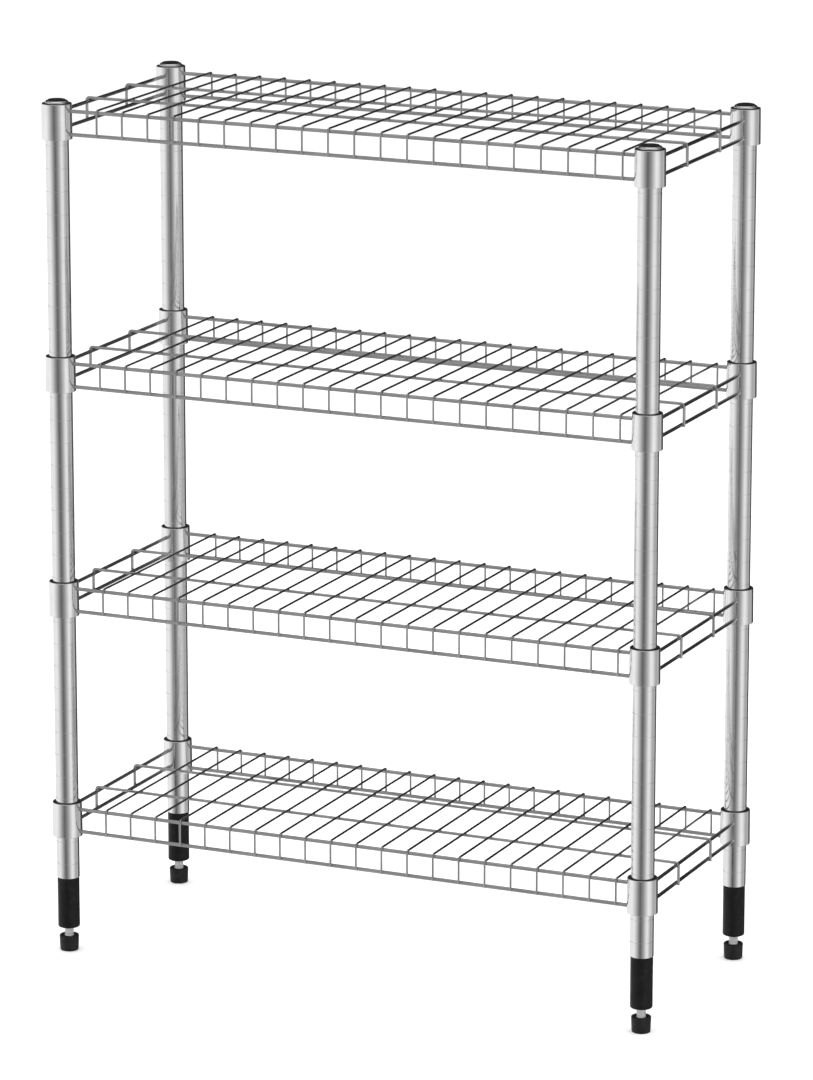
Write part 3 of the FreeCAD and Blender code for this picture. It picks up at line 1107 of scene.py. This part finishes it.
@dataclass
class ClipSet:
    """The split clips that one side of a shelf rests on: two moulded halves at each post."""

    number: int
    side: str
    post_radius: float = 12.5 * MM
    play: float = 0.05 * MM
    top_radius: float = 14.1 * MM
    rim: float = 1.1 * MM
    worn: float = 0.4 * MM
    chamfer: float = 0.5 * MM
    rib_drop: float = 19.25 * MM
    rib_width: float = 0.6 * MM
    rib_depth: float = 0.25 * MM
    band_starts: Point = (12.0 * MM, 26.0 * MM)
    band_depth: float = 0.3 * MM
    band_slope: float = 0.4 * MM
    band_floor: float = 4.6 * MM
    band_width: float = 5.0 * MM
    edge: float = 0.08 * MM
    steps: int = 40
    half_angle: float = 176.0

    def build(self) -> None:
        """Build one half with two shallow bands, mirror it, and set the pair on both posts."""
        name = str(self.number) + "_" + self.side
        low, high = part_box("clip_halves_" + name)
        centre = Post(Corner("front_" + self.side)).centre()
        wide = high.x - centre[0]
        shoulder = high.z - self.rim
        fall = (wide - self.top_radius) / (shoulder - low.z)
        inner = self.post_radius + self.play
        lip = high.z - self.worn
        points: list[Point] = [(inner, lip), (self.top_radius - self.chamfer, lip)]
        points += [(self.top_radius, lip - self.chamfer), (self.top_radius, shoulder)]
        sunk = self.band_depth
        for start in self.band_starts:
            slope, floor, end = start + self.band_slope, start + self.band_floor, start + self.band_width
            for drop, depth in ((start, 0.0), (slope, sunk), (floor, sunk), (end, 0.0)):
                points.append((self.top_radius + fall * drop - depth, shoulder - drop))
        points += [(wide, low.z), (inner, low.z)]
        rib = shoulder - self.rib_drop
        points += [(inner, rib - self.rib_width / 2.0), (inner - self.rib_depth, rib - self.rib_width / 4.0)]
        points += [(inner - self.rib_depth, rib + self.rib_width / 4.0), (inner, rib + self.rib_width / 2.0)]
        piece = profile_object("split_clips_" + name, points, True)
        add_screw(piece, self.steps, math.radians(self.half_angle))
        apply_stack(piece)
        close_ends(piece)
        piece.data.transform(Matrix.Rotation(math.radians(90.0 - self.half_angle / 2.0), 4, "Z"))
        mirror = piece.modifiers.new("other_half", "MIRROR")
        mirror.use_axis = (False, True, False)
        mirror.use_mirror_merge = False
        add_bevel(piece, self.edge, 1)
        apply_stack(piece, centre)
        add_array(piece, "front_and_back", 2, (0.0, -2.0 * centre[1], 0.0))
        dress(piece, FINISHES[Slot.CLIP], "post_frame", Slot.CLIP, "clip_halves_" + name)


# ---- Studio ----


@dataclass(frozen=True)
class StudioBand:
    """One stop of the studio's surround: its bearing from the camera and its brightness."""

    bearing: float
    brightness: float


@dataclass
class Studio:
    """Pale floor, soft surround, overhead light and the camera."""

    bearing: float = 24.17
    elevation: float = 14.03
    distance: float = 6.192
    lens: float = 187.15
    sensor: float = 36.0
    aim_right: float = 0.0066
    aim_up: float = 0.4556
    floor_half: float = 30.0
    lamp_size: Point = (5.0, 4.0)
    lamp_height: float = 4.0
    lamp_power: float = 100.0
    walls: tuple[StudioBand, ...] = (
        StudioBand(-180.0, 0.06),
        StudioBand(-173.0, 0.08),
        StudioBand(-160.0, 0.86),
        StudioBand(-84.0, 0.90),
        StudioBand(-60.0, 0.62),
        StudioBand(-38.0, 0.30),
        StudioBand(-19.0, 0.12),
        StudioBand(4.0, 0.28),
        StudioBand(24.0, 0.55),
        StudioBand(42.0, 0.86),
        StudioBand(60.0, 0.78),
        StudioBand(78.0, 0.50),
        StudioBand(91.0, 0.38),
        StudioBand(104.0, 0.46),
        StudioBand(117.0, 0.46),
        StudioBand(127.0, 0.07),
        StudioBand(170.0, 0.04),
    )
    cove: tuple[StudioBand, ...] = (
        StudioBand(-180.0, 0.04),
        StudioBand(-128.0, 0.08),
        StudioBand(-90.0, 0.42),
        StudioBand(-40.0, 0.44),
        StudioBand(0.0, 0.36),
        StudioBand(56.0, 0.42),
        StudioBand(96.0, 0.12),
        StudioBand(116.0, 0.03),
    )

    def axes(self) -> tuple[Vector, Vector, Vector]:
        """Work out the camera's axes at the rack.

        Returns:
            The directions to the camera, to its right and up.
        """
        turn = math.radians(self.bearing)
        rise = math.radians(self.elevation)
        back = Vector((math.sin(turn) * math.cos(rise), -math.cos(turn) * math.cos(rise), math.sin(rise)))
        right = Vector((math.cos(turn), math.sin(turn), 0.0))
        return (back, right, back.cross(right))

    def camera(self) -> None:
        """Set the camera on its bearing."""
        back, right, up = self.axes()
        data = bpy.data.cameras.new("camera")
        data.lens = self.lens
        data.sensor_width = self.sensor
        camera = new_object("camera", data)
        camera.location = right * self.aim_right + up * self.aim_up + back * self.distance
        camera.rotation_mode = "QUATERNION"
        camera.rotation_quaternion = (-back).to_track_quat("-Z", "Y")
        bpy.context.scene.camera = camera

    def floor(self) -> None:
        """Lay a plain pale floor."""
        half = self.floor_half
        mesh = bpy.data.meshes.new("floor")
        corners = [(-half, -half, 0.0), (half, -half, 0.0), (half, half, 0.0), (-half, half, 0.0)]
        mesh.from_pydata(corners, [], [(0, 1, 2, 3)])
        floor = new_object("floor", mesh)
        floor.visible_glossy = False
        material = bpy.data.materials.new("pale_floor")
        material.use_nodes = True
        nodes = material.node_tree.nodes
        links = material.node_tree.links
        nodes.clear()
        tone_frame = nodes.new("NodeFrame")
        tone_frame.label = "Tone of the paper"
        place = nodes.new("ShaderNodeTexCoord")
        place.label = "Place on the floor"
        place.location = (-760, 100)
        mottle = nodes.new("ShaderNodeTexNoise")
        mottle.label = "Faint unevenness of the paper"
        mottle.parent = tone_frame
        mottle.location = (-560, 100)
        mottle.inputs["Scale"].default_value = 1.5
        tone = nodes.new("ShaderNodeValToRGB")
        tone.label = "Pale paper"
        tone.parent = tone_frame
        tone.location = (-340, 100)
        tone.color_ramp.elements[0].color = (0.955, 0.955, 0.955, 1.0)
        tone.color_ramp.elements[1].color = (0.97, 0.97, 0.97, 1.0)
        shader = nodes.new("ShaderNodeBsdfPrincipled")
        shader.label = "Matt paper"
        shader.location = (0, 100)
        shader.inputs["Roughness"].default_value = 0.9
        shader.inputs["Specular IOR Level"].default_value = 0.1
        output = nodes.new("ShaderNodeOutputMaterial")
        output.label = "Finished floor"
        output.location = (300, 100)
        links.new(place.outputs["Object"], mottle.inputs["Vector"])
        links.new(mottle.outputs["Fac"], tone.inputs["Fac"])
        links.new(tone.outputs["Color"], shader.inputs["Base Color"])
        links.new(shader.outputs["BSDF"], output.inputs["Surface"])
        floor.data.materials.append(material)

    def surround_light(self) -> None:
        """Light the studio from a soft surround that changes with its bearing round the camera."""
        world = bpy.data.worlds.new("studio")
        bpy.context.scene.world = world
        world.use_nodes = True
        nodes = world.node_tree.nodes
        links = world.node_tree.links
        nodes.clear()

        place = nodes.new("ShaderNodeTexCoord")
        place.label = "Direction into the studio"
        place.location = (-1500, 0)
        turn = nodes.new("ShaderNodeMapping")
        turn.label = "Bearings counted from the camera"
        turn.location = (-1320, 0)
        turn.vector_type = "POINT"
        turn.inputs["Rotation"].default_value = (0.0, 0.0, math.radians(90.0 - self.bearing))
        split = nodes.new("ShaderNodeSeparateXYZ")
        split.label = "Parts of the direction"
        split.location = (-1120, 0)
        bearing = nodes.new("ShaderNodeMath")
        bearing.label = "Bearing"
        bearing.location = (-940, 80)
        bearing.operation = "ARCTAN2"
        round_trip = nodes.new("ShaderNodeMapRange")
        round_trip.label = "Bearing as a share of the turn"
        round_trip.location = (-760, 80)
        round_trip.inputs["From Min"].default_value = -math.pi
        round_trip.inputs["From Max"].default_value = math.pi
        walls = nodes.new("ShaderNodeValToRGB")
        walls.label = "Soft boxes and dark gaps low down"
        walls.location = (-560, 180)
        cove = nodes.new("ShaderNodeValToRGB")
        cove.label = "Dimmer surround higher up"
        cove.location = (-560, -60)
        for ramp, bands in ((walls.color_ramp, self.walls), (cove.color_ramp, self.cove)):
            for index, band in enumerate(bands):
                share = (band.bearing + 180.0) / 360.0
                stop = ramp.elements[index] if index < 2 else ramp.elements.new(share)
                stop.position = share
                stop.color = (band.brightness, band.brightness, band.brightness, 1.0)
        rise = nodes.new("ShaderNodeMapRange")
        rise.label = "Change from low to high"
        rise.location = (-560, -320)
        rise.interpolation_type = "SMOOTHSTEP"
        rise.inputs["From Min"].default_value = -0.06
        rise.inputs["From Max"].default_value = 0.10
        sides = nodes.new("ShaderNodeMix")
        sides.label = "Low and high surround"
        sides.location = (-260, 60)
        sides.data_type = "RGBA"
        ceiling = nodes.new("ShaderNodeMapRange")
        ceiling.label = "White ceiling overhead"
        ceiling.location = (-560, -800)
        ceiling.interpolation_type = "SMOOTHSTEP"
        ceiling.inputs["From Min"].default_value = 0.80
        ceiling.inputs["From Max"].default_value = 0.95
        ceiling.inputs["To Max"].default_value = 0.9
        roof = nodes.new("ShaderNodeMix")
        roof.label = "Sides with ceiling"
        roof.location = (60, -280)
        roof.data_type = "RGBA"
        roof.inputs["B"].default_value = (1.0, 1.0, 1.0, 1.0)
        height = nodes.new("ShaderNodeMath")
        height.label = "Steepness up or down"
        height.location = (-940, -420)
        height.operation = "ABSOLUTE"
        steep = nodes.new("ShaderNodeMapRange")
        steep.label = "Ceiling and floor fade in"
        steep.location = (-560, -560)
        steep.interpolation_type = "SMOOTHSTEP"
        steep.inputs["From Min"].default_value = 0.42
        steep.inputs["From Max"].default_value = 0.72
        steep.inputs["To Max"].default_value = 0.65
        whole = nodes.new("ShaderNodeMix")
        whole.label = "Sides with ceiling and floor"
        whole.location = (-60, 0)
        whole.data_type = "RGBA"
        whole.inputs["B"].default_value = (0.38, 0.38, 0.38, 1.0)
        ray = nodes.new("ShaderNodeLightPath")
        ray.label = "Reflected or not"
        ray.location = (-60, 400)
        reflected = nodes.new("ShaderNodeBackground")
        reflected.label = "What the metal mirrors"
        reflected.location = (240, 0)
        reflected.inputs["Strength"].default_value = 1.05
        backdrop = nodes.new("ShaderNodeBackground")
        backdrop.label = "Plain white backdrop and fill"
        backdrop.location = (160, -160)
        backdrop.inputs["Color"].default_value = (1.0, 1.0, 1.0, 1.0)
        backdrop.inputs["Strength"].default_value = 1.06
        choice = nodes.new("ShaderNodeMixShader")
        choice.label = "Mirrored surround or plain white"
        choice.location = (380, 60)
        output = nodes.new("ShaderNodeOutputWorld")
        output.label = "Studio surround"
        output.location = (580, 60)

        effects = (
            ("Bearing round the camera", (place, turn, split, bearing, round_trip)),
            ("Low and high sides", (walls, cove, rise, sides)),
            ("Ceiling and floor", (height, steep, whole, ceiling, roof)),
            ("Mirrored or plain", (ray, reflected, backdrop, choice)),
        )
        for effect, members in effects:
            group = nodes.new("NodeFrame")
            group.label = effect
            for member in members:
                member.parent = group

        links.new(place.outputs["Generated"], turn.inputs["Vector"])
        links.new(turn.outputs["Vector"], split.inputs["Vector"])
        links.new(split.outputs["Y"], bearing.inputs[0])
        links.new(split.outputs["X"], bearing.inputs[1])
        links.new(bearing.outputs["Value"], round_trip.inputs["Value"])
        links.new(round_trip.outputs["Result"], walls.inputs["Fac"])
        links.new(round_trip.outputs["Result"], cove.inputs["Fac"])
        links.new(split.outputs["Z"], rise.inputs["Value"])
        links.new(rise.outputs["Result"], sides.inputs["Factor"])
        links.new(walls.outputs["Color"], sides.inputs["A"])
        links.new(cove.outputs["Color"], sides.inputs["B"])
        links.new(split.outputs["Z"], height.inputs[0])
        links.new(height.outputs["Value"], steep.inputs["Value"])
        links.new(steep.outputs["Result"], whole.inputs["Factor"])
        links.new(sides.outputs["Result"], whole.inputs["A"])
        links.new(split.outputs["Z"], ceiling.inputs["Value"])
        links.new(ceiling.outputs["Result"], roof.inputs["Factor"])
        links.new(whole.outputs["Result"], roof.inputs["A"])
        links.new(roof.outputs["Result"], reflected.inputs["Color"])
        links.new(ray.outputs["Is Glossy Ray"], choice.inputs["Fac"])
        links.new(backdrop.outputs["Background"], choice.inputs[1])
        links.new(reflected.outputs["Background"], choice.inputs[2])
        links.new(choice.outputs["Shader"], output.inputs["Surface"])

    def overhead_light(self) -> None:
        """Hang a broad soft box over the rack."""
        data = bpy.data.lights.new("overhead_soft_box", "AREA")
        data.shape = "RECTANGLE"
        data.size, data.size_y = self.lamp_size
        data.energy = self.lamp_power
        lamp = new_object("overhead_soft_box", data)
        lamp.location = (0.0, 0.0, self.lamp_height)
        lamp.visible_camera = False
        lamp.visible_glossy = False

    def build(self) -> None:
        """Build the whole studio."""
        bpy.context.scene.view_settings.view_transform = "Standard"
        self.camera()
        self.floor()
        self.surround_light()
        self.overhead_light()


TUBE_FINISH = TUBE_CHROME.material()
FINISHES: dict[Slot, bpy.types.Material] = {
    Slot.CHROME: SHADED_WIRE_CHROME.material(),
    Slot.COLLAR: COLLAR_CHROME.material(),
    Slot.ZINC: ZINC_PLATE.material(),
    Slot.PLASTIC: BLACK_PLASTIC.material(),
    Slot.CLIP: CLIP_NYLON.material(),
    Slot.FOOT: FOOT_PLASTIC.material(),
}


def main() -> None:
    """Build the rack and its studio."""
    logging.basicConfig(level=logging.INFO, format="%(name)s: %(message)s")
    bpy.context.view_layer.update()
    for corner in Corner:
        Post(corner).build()
    for number in range(1, 5):
        Shelf(number).build()
        ClipSet(number, "left").build()
        ClipSet(number, "right").build()
    for name in ("post_joint_studs", "post_joint_inserts", "leveller_nuts"):
        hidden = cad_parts[name]
        hidden.data.materials.clear()
        hidden.data.materials.append(FINISHES[Slot.ZINC])
        LOG.info("%s keeps its packed shape", name)
    Studio().build()


if __name__ == "__main__":
    main()
